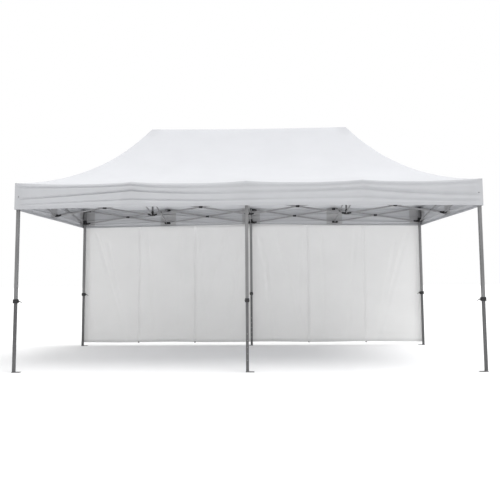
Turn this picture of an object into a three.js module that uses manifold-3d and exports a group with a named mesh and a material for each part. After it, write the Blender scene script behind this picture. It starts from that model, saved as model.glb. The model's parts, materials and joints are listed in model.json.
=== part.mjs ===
// Pop up canopy with six legs, two roof peaks and two rear walls.
// Millimetres. X runs along the long side, -Y is the open front, +Z is up, the feet stand on z = 0.
// The frame is a grid of scissor trusses: every bar falls or rises from a leg to the middle of a bay.
import * as THREE from 'three';
import { mergeVertices } from 'three/addons/utils/BufferGeometryUtils.js';
import Module from 'manifold-3d';

const wasm = await Module();
wasm.setup();

// Plan: legs stand on a grid of two square bays, side by side.
const BAY = 2900;
const DEEP = BAY / 2;

// Levels of the frame.
const TOP_PIN_Z = 2317;
const LOW_PIN_Z = 2097;
const LEG_TOP_Z = 2337;
const LOCK_LOW_Z = 851;
const LOCK_HIGH_Z = 896;

// Lever of a leg's lock.
const LEVER_PIVOT_OUT = 36;
const LEVER_PIVOT_Z = 873;

// Tubes of a leg: the inner one slides in the outer one.
const OUTER_HALF = 20;
const BORE_HALF = 18.4;
const INNER_HALF = 18;
const INNER_WALL = 1.6;
const INNER_TOP_Z = 1090;
const PLATE_THICK = 5;
const PLATE_LONG = 104;
const PLATE_WIDE = 60;

// Flat scissor bars. The two bars of a pair lie on either side of their truss's middle plane.
const PIN_OUT = 60;
const BAR_PLANE = 7;
const BAR_THICK = 12;
const BAR_HALF_DEPTH = 12.5;
const PIN_R = 3.5;
const HOLE_R = 4.6;
const BAR_RUN = BAY / 2 - PIN_OUT;
const BAR_DROP = TOP_PIN_Z - LOW_PIN_Z;
const BAR_LONG = Math.hypot(BAR_RUN, BAR_DROP);
const BAR_TILT = Math.atan2(BAR_DROP, BAR_RUN);

// Brackets that hold the bars' ends.
const ARM_HALF_WIDE = 18.5;
const ARM_HALF_HIGH = 12;
const SLOT_GAP = 0.5;
const COLLAR_HALF = 26;
const SLEEVE_GAP = 0.5;
const SLEEVE_UP = 34;
const HUB_PIN_OUT = 30;

// Peak poles.
const PEAK_X = 1450;
const POLE_R = 14;
const POLE_TOP_Z = 3372;

// Roof: a sagging slope from each eave to the ridge, with a valance hanging from the eave.
const EAVE_X = 2930;
const EAVE_Y = 1505;
const EAVE_Z = 2349;
const RIDGE_Z = 3421;
const VALANCE_Z = 2025;
const CLOTH = 3;
const SLOPE_RINGS = 10;
const STRAIGHT_SHARE = 0.3;
const SAG_POWER = 2.34;

// Rear walls, hanging from the valance's lower edge.
const WALL_Y = 1499;
const WALL_LOW_Z = 53;
const WALL_HIGH_Z = 2024;
const WALL_OUT_X = 2916;
const WALL_IN_X = 6;

const COLOURS = {
  tube: { color: 0x84858a, roughness: 0.42, metalness: 0.75 },
  bar: { color: 0x8a8b8f, roughness: 0.45, metalness: 0.7 },
  bracket: { color: 0x1b1b1d, roughness: 0.62, metalness: 0.0 },
  lever: { color: 0x9b9ca0, roughness: 0.5, metalness: 0.3 },
  pole: { color: 0x5f6064, roughness: 0.5, metalness: 0.6 },
  roof: { color: 0xecedf1, roughness: 0.78, metalness: 0.0 },
  wall: { color: 0xd9dadb, roughness: 0.8, metalness: 0.0 },
};

// ---- solids ----

function solid(geometry) {
  const plain = geometry.clone();
  plain.deleteAttribute('normal');
  plain.deleteAttribute('uv');
  const merged = mergeVertices(plain, 1e-4);
  return new wasm.Manifold(new wasm.Mesh({
    numProp: 3,
    vertProperties: new Float32Array(merged.attributes.position.array),
    triVerts: new Uint32Array(merged.index.array),
  }));
}

function geometryOf(body) {
  const mesh = body.getMesh();
  const geometry = new THREE.BufferGeometry();
  geometry.setAttribute('position', new THREE.BufferAttribute(new Float32Array(mesh.vertProperties), 3));
  geometry.setIndex(new THREE.BufferAttribute(new Uint32Array(mesh.triVerts), 1));
  const flat = geometry.toNonIndexed();
  flat.computeVertexNormals();
  return flat;
}

function box([x0, x1], [y0, y1], [z0, z1]) {
  const geometry = new THREE.BoxGeometry(x1 - x0, y1 - y0, z1 - z0);
  geometry.translate((x0 + x1) / 2, (y0 + y1) / 2, (z0 + z1) / 2);
  return solid(geometry);
}

// A pin along Y, between y0 and y1.
function pin(radius, x, z, y0, y1, sides = 8) {
  const geometry = new THREE.CylinderGeometry(radius, radius, y1 - y0, sides);
  geometry.translate(x, (y0 + y1) / 2, z);
  return solid(geometry);
}

function turned(body, degrees) {
  return body.rotate([0, 0, degrees]);
}

function arcPoints(cx, cy, radius, from, to, steps) {
  const points = [];
  for (let i = 0; i <= steps; i += 1) {
    const angle = from + ((to - from) * i) / steps;
    points.push(new THREE.Vector2(cx + radius * Math.cos(angle), cy + radius * Math.sin(angle)));
  }
  return points;
}

// Extrudes a profile drawn in X and Z along Y, from y0 to y1.
function extruded(shape, y0, y1) {
  const geometry = new THREE.ExtrudeGeometry(shape, { depth: y1 - y0, bevelEnabled: false, steps: 1 });
  geometry.rotateX(Math.PI / 2);
  geometry.translate(0, y1, 0);
  return solid(geometry);
}

// ---- bars ----

// A flat bar from its leg end at the origin to BAR_LONG along X, rounded at both ends.
// `ends` says for the leg end, the middle and the far end whether it has a hole or carries a pin.
function barSolid(plane, ends) {
  const right = arcPoints(BAR_LONG, 0, BAR_HALF_DEPTH, -Math.PI / 2, Math.PI / 2, 6);
  const left = arcPoints(0, 0, BAR_HALF_DEPTH, Math.PI / 2, (3 * Math.PI) / 2, 6);
  const shape = new THREE.Shape([...right, ...left]);
  const stations = [0, BAR_LONG / 2, BAR_LONG];
  const inner = plane - BAR_THICK / 2;
  const outer = plane + BAR_THICK / 2;
  stations.forEach((x, i) => {
    if (ends[i] === 'hole') {
      shape.holes.push(new THREE.Path(arcPoints(x, 0, HOLE_R, 0, -2 * Math.PI, 8).slice(0, 8)));
    }
  });
  let body = extruded(shape, inner, outer);
  stations.forEach((x, i) => {
    if (ends[i] === 'pin') {
      const tip = -Math.sign(plane) * (Math.abs(plane) + BAR_THICK / 2 + 2);
      body = body.add(pin(PIN_R, x, 0, Math.min(plane, tip), Math.max(plane, tip)));
    }
  });
  return body;
}

// ---- brackets ----

// The room a bar in `plane` needs to turn about a pin that is `pinOut` from its bracket's middle.
function barSlot(plane, z, pinOut) {
  const half = BAR_THICK / 2 + SLOT_GAP;
  const behind = BAR_HALF_DEPTH + 0.7;
  return box([pinOut - behind, pinOut + 30], [plane - half, plane + half], [z - 60, z + 60]);
}

function crossPin(z, pinOut) {
  return pin(PIN_R, pinOut, z, -ARM_HALF_WIDE + 0.5, ARM_HALF_WIDE - 0.5);
}

function armBlock(z, root, pinOut) {
  const wide = [-ARM_HALF_WIDE, ARM_HALF_WIDE];
  return box([root, pinOut + 13], wide, [z - ARM_HALF_HIGH, z + ARM_HALF_HIGH]);
}

// One arm of a bracket, pointing along X from the leg, with a slot for the bar in `plane` and its pin.
function armSolid(plane, z, root, pinOut) {
  return armBlock(z, root, pinOut).subtract(barSlot(plane, z, pinOut)).add(crossPin(z, pinOut));
}

function withArms(body, plane, z, root, yaws) {
  return yaws.reduce((sum, yaw) => sum.add(turned(armSolid(plane, z, root, PIN_OUT), yaw)), body);
}

// The outer tube of a leg with its top bracket, and the lock housing at its lower end.
function legOuterSolid(yaws, leverYaw) {
  const bore = box([-BORE_HALF, BORE_HALF], [-BORE_HALF, BORE_HALF], [0, LEG_TOP_Z - 4]);
  const tube = box([-OUTER_HALF, OUTER_HALF], [-OUTER_HALF, OUTER_HALF], [LOCK_LOW_Z + 4, LEG_TOP_Z]);
  const collar = box([-COLLAR_HALF, COLLAR_HALF], [-COLLAR_HALF, COLLAR_HALF], [TOP_PIN_Z - 15, TOP_PIN_Z + 15]);
  const topped = withArms(tube.add(collar), BAR_PLANE, TOP_PIN_Z, COLLAR_HALF - 2, yaws);
  const housing = turned(lockHousingSolid(), leverYaw);
  return topped.add(housing).subtract(bore);
}

// Lock housing with a fork for the release lever on its +X side.
function lockHousingSolid() {
  const block = box([-30, 30], [-26, 26], [LOCK_LOW_Z, LOCK_HIGH_Z]);
  const fork = box([28, 42], [-13, 13], [LEVER_PIVOT_Z - 11, LEVER_PIVOT_Z + 11]);
  const gap = box([30.2, 60], [-7, 7], [LEVER_PIVOT_Z - 20, LEVER_PIVOT_Z + 20]);
  const pivot = pin(2.2, LEVER_PIVOT_OUT, LEVER_PIVOT_Z, -12, 12);
  return block.add(fork).subtract(gap).add(pivot).add(box([20, 29], [-10, 10], [LOCK_LOW_Z + 5, LOCK_HIGH_Z - 5]));
}

// Thumb lever: an eye on the pivot and a bent tongue that points away from the leg.
function leverSolid() {
  const outline = [
    ...arcPoints(0, 0, 5.2, Math.PI / 2, (3 * Math.PI) / 2, 6),
    new THREE.Vector2(14, -6.5),
    new THREE.Vector2(32, -13),
    new THREE.Vector2(46, -20),
    new THREE.Vector2(47, -16),
    new THREE.Vector2(34, -7),
    new THREE.Vector2(16, 2),
  ];
  const shape = new THREE.Shape(outline);
  shape.holes.push(new THREE.Path(arcPoints(0, 0, 3, 0, -2 * Math.PI, 8).slice(0, 8)));
  return extruded(shape, -6.4, 6.4);
}

// Sleeve that runs on the outer tube and carries the lower ends of the bars.
function sliderSolid(yaws) {
  const hole = OUTER_HALF + SLEEVE_GAP;
  const sleeve = box([-COLLAR_HALF, COLLAR_HALF], [-COLLAR_HALF, COLLAR_HALF], [-ARM_HALF_HIGH, SLEEVE_UP]);
  const armed = withArms(sleeve, -BAR_PLANE, 0, COLLAR_HALF - 2, yaws);
  return armed.subtract(box([-hole, hole], [-hole, hole], [-100, 100]));
}

function legInnerSolid(plateYaw) {
  const half = INNER_HALF;
  const hollow = half - INNER_WALL;
  const tube = box([-half, half], [-half, half], [PLATE_THICK - 1, INNER_TOP_Z]);
  const inside = box([-hollow, hollow], [-hollow, hollow], [PLATE_THICK, INNER_TOP_Z + 10]);
  const plate = box([-half - 2, PLATE_LONG - half - 2], [-PLATE_WIDE / 2, PLATE_WIDE / 2], [0, PLATE_THICK]);
  const stake = new THREE.CylinderGeometry(6, 6, 20, 10);
  stake.rotateX(Math.PI / 2);
  stake.translate(PLATE_LONG - half - 24, 0, 2);
  return turned(tube.subtract(inside).add(plate.subtract(solid(stake))), plateYaw);
}

// Saddle over the upper middle joint of the centre truss, with a fork on each side for the ridge bars.
function centreHubSolid() {
  const cheek = BAR_PLANE + BAR_THICK / 2 + 0.6;
  const slot = barSlot(BAR_PLANE, 0, HUB_PIN_OUT);
  const forkPin = crossPin(0, HUB_PIN_OUT);
  const reach = HUB_PIN_OUT + 13;
  const block = box([-reach, reach], [-ARM_HALF_WIDE, ARM_HALF_WIDE], [-ARM_HALF_HIGH, 18]);
  const saddle = box([-cheek, cheek], [-40, 40], [-40, 14]);
  const shaped = block.subtract(slot).subtract(turned(slot, 180)).subtract(saddle);
  const cross = pin(PIN_R, 0, 0, -15, 15).rotate([0, 0, 90]);
  return shaped.add(forkPin).add(turned(forkPin, 180)).add(cross);
}

// Peak pole standing in its lower hub. The hub's fork points along +X, towards the centre truss.
function poleSolid() {
  const hub = box([-16, 16], [-ARM_HALF_WIDE, ARM_HALF_WIDE], [-14, 30]);
  const fork = armBlock(0, 12, HUB_PIN_OUT);
  const tube = new THREE.CylinderGeometry(POLE_R, POLE_R, POLE_TOP_Z - LOW_PIN_Z - 20, 16);
  tube.rotateX(Math.PI / 2);
  tube.translate(0, 0, 20 + (POLE_TOP_Z - LOW_PIN_Z - 20) / 2);
  const slotted = hub.add(fork).subtract(barSlot(-BAR_PLANE, 0, HUB_PIN_OUT));
  return slotted.add(solid(tube)).add(crossPin(0, HUB_PIN_OUT));
}

// ---- cloth ----

function slopeHeight(t) {
  return EAVE_Z + (RIDGE_Z - EAVE_Z) * (STRAIGHT_SHARE * t + (1 - STRAIGHT_SHARE) * t ** SAG_POWER);
}

// One closed rectangle of the roof at the share t of the way from eave to ridge.
function roofRing(t, inset, drop) {
  const x = EAVE_X - inset + (PEAK_X - EAVE_X + inset) * t;
  const y = (EAVE_Y - inset) * (1 - t);
  const z = slopeHeight(t) - drop;
  return [[-x, -y, z], [x, -y, z], [x, y, z], [-x, y, z]];
}

function hemRing(inset) {
  return roofRing(0, inset, EAVE_Z - VALANCE_Z);
}

// The roof and valance are one thin shell: rings go up outside, over the ridge and down inside.
function roofGeometry() {
  const steps = [...Array(SLOPE_RINGS + 1).keys()].map((i) => i / SLOPE_RINGS);
  const outside = [hemRing(0), ...steps.map((t) => roofRing(t, 0, 0))];
  const inside = [...steps.map((t) => roofRing(t, CLOTH, CLOTH + 1)).reverse(), hemRing(CLOTH)];
  const positions = [];
  const stitch = (lower, upper) => {
    for (let i = 0; i < 4; i += 1) {
      const j = (i + 1) % 4;
      addTriangle(positions, lower[i], lower[j], upper[j]);
      addTriangle(positions, lower[i], upper[j], upper[i]);
    }
  };
  for (let i = 0; i + 1 < outside.length; i += 1) stitch(outside[i], outside[i + 1]);
  for (let i = 0; i + 1 < inside.length; i += 1) stitch(inside[i], inside[i + 1]);
  stitch(inside[inside.length - 1], outside[0]);
  const geometry = new THREE.BufferGeometry();
  geometry.setAttribute('position', new THREE.Float32BufferAttribute(positions, 3));
  return geometryOf(solid(geometry));
}

function addTriangle(positions, a, b, c) {
  const edge1 = new THREE.Vector3(b[0] - a[0], b[1] - a[1], b[2] - a[2]);
  const edge2 = new THREE.Vector3(c[0] - a[0], c[1] - a[1], c[2] - a[2]);
  if (edge1.cross(edge2).length() < 1e-6) return;
  positions.push(...a, ...b, ...c);
}

// ---- assembly ----

const canopy = new THREE.Group();
canopy.name = 'canopy';

function addMesh(name, geometry, kind, position = [0, 0, 0], yaw = 0, tilt = 0) {
  const mesh = new THREE.Mesh(geometry, new THREE.MeshStandardMaterial(COLOURS[kind]));
  mesh.name = name;
  mesh.position.set(...position);
  mesh.rotation.set(0, tilt, THREE.MathUtils.degToRad(yaw), 'ZYX');
  canopy.add(mesh);
}

// Each leg: where it stands, which ways its trusses run, and which way its foot and lever point.
const LEGS = {
  fl: { x: -BAY, y: -DEEP, trusses: [0, 90], foot: 0, lever: 0 },
  fc: { x: 0, y: -DEEP, trusses: [0, 90, 180], foot: 0, lever: 90 },
  fr: { x: BAY, y: -DEEP, trusses: [180, 90], foot: 180, lever: 180 },
  rl: { x: -BAY, y: DEEP, trusses: [0, -90], foot: 0, lever: 0 },
  rc: { x: 0, y: DEEP, trusses: [0, -90, 180], foot: 180, lever: -90 },
  rr: { x: BAY, y: DEEP, trusses: [180, -90], foot: 180, lever: 180 },
};

// Each truss joins two legs. A bar that starts at the first leg runs along `yaw`.
const TRUSSES = [
  { name: 'rear_left', legs: ['rc', 'rl'], yaw: 180 },
  { name: 'rear_right', legs: ['rc', 'rr'], yaw: 0 },
  { name: 'centre', legs: ['rc', 'fc'], yaw: -90 },
  { name: 'left', legs: ['rl', 'fl'], yaw: -90 },
  { name: 'right', legs: ['rr', 'fr'], yaw: -90 },
  { name: 'front_left', legs: ['fc', 'fl'], yaw: 180 },
  { name: 'front_right', legs: ['fc', 'fr'], yaw: 0 },
];

function addLeg(id, leg) {
  const lever = THREE.MathUtils.degToRad(leg.lever);
  const pivotX = leg.x + LEVER_PIVOT_OUT * Math.cos(lever);
  const pivotY = leg.y + LEVER_PIVOT_OUT * Math.sin(lever);
  addMesh(`leg_outer_${id}`, geometryOf(legOuterSolid(leg.trusses, leg.lever)), 'tube', [leg.x, leg.y, 0]);
  addMesh(`leg_inner_${id}`, geometryOf(legInnerSolid(leg.foot)), 'tube', [leg.x, leg.y, 0]);
  addMesh(`slider_${id}`, geometryOf(sliderSolid(leg.trusses)), 'bracket', [leg.x, leg.y, LOW_PIN_Z]);
  addMesh(`lock_lever_${id}`, geometryOf(leverSolid()), 'lever', [pivotX, pivotY, LEVER_PIVOT_Z], leg.lever);
}

// The high bar falls from the leg's top bracket and the low bar rises from its slider.
function addHalfTruss(truss, id, yaw, highEnds, lowEnds) {
  const leg = LEGS[id];
  const angle = THREE.MathUtils.degToRad(yaw);
  const x = leg.x + PIN_OUT * Math.cos(angle);
  const y = leg.y + PIN_OUT * Math.sin(angle);
  const high = geometryOf(barSolid(BAR_PLANE, highEnds));
  const low = geometryOf(barSolid(-BAR_PLANE, lowEnds));
  addMesh(`bar_${truss}_${id}_high`, high, 'bar', [x, y, TOP_PIN_Z], yaw, BAR_TILT);
  addMesh(`bar_${truss}_${id}_low`, low, 'bar', [x, y, LOW_PIN_Z], yaw, -BAR_TILT);
}

function addTruss({ name, legs, yaw }) {
  const upperJoint = name === 'centre' ? 'hole' : 'pin';
  addHalfTruss(name, legs[0], yaw, ['hole', 'hole', 'hole'], ['hole', 'pin', upperJoint]);
  addHalfTruss(name, legs[1], yaw + 180, ['hole', 'hole', 'pin'], ['hole', 'pin', 'hole']);
}

function addPeak(side, yaw) {
  const sign = side === 'left' ? -1 : 1;
  const bar = geometryOf(barSolid(BAR_PLANE, ['hole', 'hole', 'hole']));
  addMesh(`bar_ridge_${side}`, bar, 'bar', [sign * HUB_PIN_OUT, 0, TOP_PIN_Z], yaw, BAR_TILT);
  addMesh(`peak_pole_${side}`, geometryOf(poleSolid()), 'pole', [sign * PEAK_X, 0, LOW_PIN_Z], yaw + 180);
}

function addWall(side) {
  const wall = box([WALL_IN_X, WALL_OUT_X], [WALL_Y, WALL_Y + CLOTH], [WALL_LOW_Z, WALL_HIGH_Z]);
  addMesh(`wall_rear_${side}`, geometryOf(side === 'left' ? wall.mirror([1, 0, 0]) : wall), 'wall');
}

Object.entries(LEGS).forEach(([id, leg]) => addLeg(id, leg));
TRUSSES.forEach(addTruss);
addMesh('centre_hub', geometryOf(centreHubSolid()), 'bracket', [0, 0, TOP_PIN_Z]);
addPeak('left', 180);
addPeak('right', 0);
addMesh('roof', roofGeometry(), 'roof');
addWall('left');
addWall('right');

export default canopy;
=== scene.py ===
"""Looks of a pop up canopy: folding steel frame, cloth roof with a valance, two rear walls.

Everything is in metres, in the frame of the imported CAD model: X along the long side, -Y the open
front, Z up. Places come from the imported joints, mounts and node boxes.
"""

import json
import math

import bmesh
import bpy
import numpy as np
from mathutils import Matrix, Vector

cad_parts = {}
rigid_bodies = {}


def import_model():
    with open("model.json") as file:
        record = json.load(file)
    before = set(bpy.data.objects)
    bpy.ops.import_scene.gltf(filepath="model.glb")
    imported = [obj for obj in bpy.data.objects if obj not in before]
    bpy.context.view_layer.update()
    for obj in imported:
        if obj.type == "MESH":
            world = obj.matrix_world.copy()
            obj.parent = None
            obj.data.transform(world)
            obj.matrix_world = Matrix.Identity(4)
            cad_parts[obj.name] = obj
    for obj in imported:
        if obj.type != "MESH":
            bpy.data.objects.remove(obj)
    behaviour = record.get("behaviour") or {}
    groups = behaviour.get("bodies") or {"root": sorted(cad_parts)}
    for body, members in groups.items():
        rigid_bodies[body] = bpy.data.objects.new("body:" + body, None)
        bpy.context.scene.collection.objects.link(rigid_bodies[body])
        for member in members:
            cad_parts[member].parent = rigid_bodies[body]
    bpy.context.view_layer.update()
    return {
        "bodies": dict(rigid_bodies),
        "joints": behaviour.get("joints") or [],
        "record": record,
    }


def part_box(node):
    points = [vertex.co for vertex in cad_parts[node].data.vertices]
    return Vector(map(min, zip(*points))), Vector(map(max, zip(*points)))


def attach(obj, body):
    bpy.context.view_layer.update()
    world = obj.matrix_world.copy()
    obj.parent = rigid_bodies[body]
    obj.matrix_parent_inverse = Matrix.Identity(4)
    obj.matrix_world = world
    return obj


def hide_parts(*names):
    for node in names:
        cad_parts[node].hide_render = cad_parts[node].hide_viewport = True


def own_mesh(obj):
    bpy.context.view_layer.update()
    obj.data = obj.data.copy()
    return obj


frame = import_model()

RECORD = frame["record"]
JOINTS = {j["name"]: j for j in frame["joints"]}
MOUNTS = {m["name"]: Vector(m["pos_m"]) for m in RECORD["mounts"]}
LEGS = {
    row[0] + place[0]: MOUNTS[f"{row}_{place}_foot"]
    for row in ("front", "rear") for place in ("left", "centre", "right")
}
FIXED_LEG = LEGS["rc"]

# Which ways the trusses run from each leg, and which way its foot, lock lever and slider's pin point.
TRUSS_YAWS = {
    "fl": (0, 90), "fc": (0, 90, 180), "fr": (180, 90),
    "rl": (0, -90), "rc": (0, -90, 180), "rr": (180, -90),
}
FOOT_YAW = {"fl": 0, "fc": 0, "fr": 180, "rl": 0, "rc": 180, "rr": 180}
LEVER_YAW = {"fl": 0, "fc": 90, "fr": 180, "rl": 0, "rc": -90, "rr": 180}
PULL_YAW = {leg: math.copysign(90, foot.y) for leg, foot in LEGS.items()}
TRUSSES = {
    "rear_left": ("rc", "rl"), "rear_right": ("rc", "rr"), "centre": ("rc", "fc"),
    "left": ("rl", "fl"), "right": ("rr", "fr"),
    "front_left": ("fc", "fl"), "front_right": ("fc", "fr"),
}
SIDE_SIGNS = {"left": -1, "right": 1}
ROW_SIGNS = {"front": -1, "rear": 1}

# Levels and spacings of the frame.
HALF_BAY = LEGS["fr"].x / 2
TOP_PIN_Z = JOINTS["frame_fold"]["pos_m"][2]
LOW_PIN_Z = 2 * JOINTS["turn_bar_rear_left_rc_low"]["pos_m"][2] - TOP_PIN_Z
PIN_OUT = -JOINTS["frame_fold"]["pos_m"][0]
HUB_PIN_OUT = 0.030
BAR_PLANE = 0.007
LEG_TOP_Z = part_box("leg_outer_fl")[1].z
LOCK_LOW_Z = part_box("leg_outer_fl")[0].z
LOCK_HIGH_Z = LOCK_LOW_Z + 0.045
INNER_TOP_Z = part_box("leg_inner_fl")[1].z
POLE_TOP_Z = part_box("peak_pole_left")[1].z

# Cloth outline: the eave's corner, the ridge and the hem's level.
EAVE_X, EAVE_Y, RIDGE_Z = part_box("roof")[1]
VALANCE_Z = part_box("roof")[0].z
EAVE_Z = 2.349
PEAK_X = HALF_BAY
HEM_HEIGHT = 0.037


# ---- materials ----

class Nodes:
    """A material's node tree, with short calls for the nodes used here."""

    def __init__(self, name, roughness, metallic=0.0):
        self.material = bpy.data.materials.new(name)
        self.material.use_nodes = True
        self.tree = self.material.node_tree
        self.shader = self.tree.nodes["Principled BSDF"]
        self.shader.inputs["Roughness"].default_value = roughness
        self.shader.inputs["Metallic"].default_value = metallic

    def node(self, kind, **settings):
        made = self.tree.nodes.new(kind)
        for key, value in settings.items():
            setattr(made, key, value)
        return made

    def link(self, source, target):
        self.tree.links.new(source, target)

    def place(self, uv=False):
        return self.node("ShaderNodeTexCoord").outputs["UV" if uv else "Object"]

    def noise(self, vector, scale, detail=3.0, rough=0.5, stretch=None):
        if stretch:
            mapping = self.node("ShaderNodeMapping")
            mapping.inputs["Scale"].default_value = stretch
            self.link(vector, mapping.inputs["Vector"])
            vector = mapping.outputs["Vector"]
        made = self.node("ShaderNodeTexNoise")
        made.inputs["Scale"].default_value = scale
        made.inputs["Detail"].default_value = detail
        made.inputs["Roughness"].default_value = rough
        self.link(vector, made.inputs["Vector"])
        return made.outputs["Fac"]

    def math(self, operation, a, b=None):
        made = self.node("ShaderNodeMath", operation=operation)
        for socket, value in zip(made.inputs, (a, b)):
            if isinstance(value, bpy.types.NodeSocket):
                self.link(value, socket)
            elif value is not None:
                socket.default_value = value
        return made.outputs[0]

    def times(self, a, b):
        return self.math("MULTIPLY", a, b)

    def wave(self, length, pitch):
        return self.math("SINE", self.times(length, 2 * math.pi / pitch))

    def ramp(self, factor, stops):
        made = self.node("ShaderNodeValToRGB")
        elements = made.color_ramp.elements
        for element, (place, colour) in zip(elements, stops[:2]):
            element.position = place
            element.color = (*colour, 1)
        for place, colour in stops[2:]:
            elements.new(place).color = (*colour, 1)
        self.link(factor, made.inputs["Fac"])
        return made.outputs["Color"]

    def mix(self, factor, a, b, mode="MIX"):
        made = self.node("ShaderNodeMix", data_type="RGBA", blend_type=mode)
        for socket, value in zip((made.inputs[0], made.inputs[6], made.inputs[7]), (factor, a, b)):
            if isinstance(value, bpy.types.NodeSocket):
                self.link(value, socket)
            elif isinstance(value, tuple):
                socket.default_value = (*value, 1)
            else:
                socket.default_value = value
        return made.outputs[2]

    def colour(self, output):
        self.link(output, self.shader.inputs["Base Color"])

    def rough(self, factor, low, high):
        made = self.node("ShaderNodeMapRange")
        made.inputs["To Min"].default_value = low
        made.inputs["To Max"].default_value = high
        self.link(factor, made.inputs["Value"])
        self.link(made.outputs["Result"], self.shader.inputs["Roughness"])

    def bump(self, height, strength, distance):
        made = self.node("ShaderNodeBump")
        made.inputs["Strength"].default_value = strength
        made.inputs["Distance"].default_value = distance
        self.link(height, made.inputs["Height"])
        self.link(made.outputs["Normal"], self.shader.inputs["Normal"])


def painted_steel(name, dark, light, metallic, roughness):
    """Powder coated steel: fine speckle, and slow streaks along the tube."""
    m = Nodes(name, roughness, metallic)
    place = m.place()
    streak = m.noise(place, 9.0, 4.0, 0.6, stretch=(1, 1, 0.12))
    speck = m.noise(place, 900.0, 2.0, 0.7)
    tone = m.ramp(streak, [(0.3, dark), (0.72, light)])
    m.colour(m.mix(0.18, tone, m.ramp(speck, [(0.35, dark), (0.65, light)])))
    m.rough(streak, roughness - 0.08, roughness + 0.12)
    m.bump(speck, 0.25, 0.0002)
    return m.material


def moulded_nylon(name, dark, light):
    """Black glass filled nylon with a fine spark grain and scuffs."""
    m = Nodes(name, 0.55)
    m.shader.inputs["Specular IOR Level"].default_value = 0.42
    place = m.place()
    grain = m.noise(place, 1400.0, 2.0, 0.6)
    scuff = m.noise(place, 38.0, 5.0, 0.65)
    m.colour(m.ramp(scuff, [(0.42, dark), (0.8, light)]))
    m.rough(scuff, 0.42, 0.68)
    m.bump(grain, 0.35, 0.00015)
    return m.material


def plated(name, dark, light):
    """Plated bolts and washers."""
    m = Nodes(name, 0.32, 0.85)
    cloud = m.noise(m.place(), 260.0, 4.0, 0.6)
    m.colour(m.ramp(cloud, [(0.3, dark), (0.75, light)]))
    m.rough(cloud, 0.25, 0.48)
    m.bump(cloud, 0.15, 0.0001)
    return m.material


THREAD_PITCH = 0.0011
STITCH_PITCH = 0.0045
STITCH_HALF_WIDE = 0.0009
STITCH_GAP = -0.35
STITCH_COLOUR = (0.45, 0.45, 0.47)


def coated_cloth(name, shade, tint, sheen, through, seams=()):
    """Coated polyester: a plain weave, thread slubs, soft clouding, and light let through.

    UV is in metres along the cloth, with V counted up from its lower edge. Each of `seams` is a
    height in V with a row of stitches.
    """
    m = Nodes(name, 0.78)
    m.shader.inputs["Sheen Weight"].default_value = sheen
    m.shader.inputs["Sheen Roughness"].default_value = 0.45
    m.shader.inputs["Specular IOR Level"].default_value = 0.28
    uv = m.place(uv=True)
    place = m.place()
    parts = m.node("ShaderNodeSeparateXYZ")
    m.link(uv, parts.inputs[0])
    along, up = parts.outputs["X"], parts.outputs["Y"]
    weave = m.times(m.wave(along, THREAD_PITCH), m.wave(up, THREAD_PITCH))
    slub = m.noise(uv, 120.0, 3.0, 0.6, stretch=(1, 14, 1))
    cloud = m.noise(place, 2.2, 4.0, 0.55)
    mottle = m.noise(place, 26.0, 5.0, 0.6)
    tone = m.ramp(cloud, [(0.3, tuple(c * 0.965 for c in shade)), (0.7, shade)])
    tone = m.mix(0.06, tone, m.ramp(mottle, [(0.35, tint), (0.65, (1.0, 1.0, 1.0))]), "MULTIPLY")
    height = m.math("ADD", m.times(weave, 0.35), slub)
    for seam in seams:
        off_line = m.math("ABSOLUTE", m.math("SUBTRACT", up, seam))
        near = m.math("LESS_THAN", off_line, STITCH_HALF_WIDE)
        stitch = m.times(near, m.math("GREATER_THAN", m.wave(along, STITCH_PITCH), STITCH_GAP))
        tone = m.mix(m.times(stitch, 0.5), tone, STITCH_COLOUR)
        height = m.math("SUBTRACT", height, m.times(stitch, 1.5))
    m.colour(tone)
    m.rough(mottle, 0.7, 0.88)
    m.bump(height, 0.22, 0.0004)
    glow = m.node("ShaderNodeBsdfTranslucent")
    m.link(tone, glow.inputs["Color"])
    both = m.node("ShaderNodeMixShader")
    both.inputs["Fac"].default_value = through
    m.link(m.shader.outputs["BSDF"], both.inputs[1])
    m.link(glow.outputs["BSDF"], both.inputs[2])
    m.link(both.outputs["Shader"], m.tree.nodes["Material Output"].inputs["Surface"])
    return m.material


STEEL = painted_steel("leg_steel", (0.15, 0.15, 0.153), (0.26, 0.26, 0.265), 0.35, 0.42)
INNER_STEEL = painted_steel("inner_leg_steel", (0.08, 0.08, 0.082), (0.16, 0.16, 0.163), 0.5, 0.4)
BAR_STEEL = painted_steel("bar_steel", (0.25, 0.25, 0.257), (0.36, 0.36, 0.367), 0.3, 0.48)
POLE_STEEL = painted_steel("pole_steel", (0.1, 0.1, 0.105), (0.17, 0.17, 0.175), 0.3, 0.45)
NYLON = moulded_nylon("black_nylon", (0.012, 0.012, 0.013), (0.035, 0.035, 0.038))
LEVER_NYLON = moulded_nylon("lever_nylon", (0.05, 0.05, 0.052), (0.10, 0.10, 0.105))
WEBBING = moulded_nylon("webbing", (0.10, 0.10, 0.102), (0.17, 0.17, 0.172))
ZINC = plated("zinc_plate", (0.42, 0.43, 0.44), (0.66, 0.66, 0.67))
BLACK_BOLT = plated("black_bolt", (0.035, 0.035, 0.036), (0.08, 0.08, 0.082))
VALANCE_SEAMS = (HEM_HEIGHT - 0.004, 0.020, 0.314)
ROOF_CLOTH = coated_cloth("roof_cloth", (0.65, 0.658, 0.682), (0.9, 0.91, 0.94), 0.12, 0.16)
# The valance is the roof's cloth with painted shade. Its colour is darker because its upright face gets less
# light from above.
SHADED_VALANCE_CLOTH = coated_cloth(
    "valance_cloth_painted_shade", (0.515, 0.522, 0.541), (0.88, 0.89, 0.93), 0.12, 0.08, seams=VALANCE_SEAMS)
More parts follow.
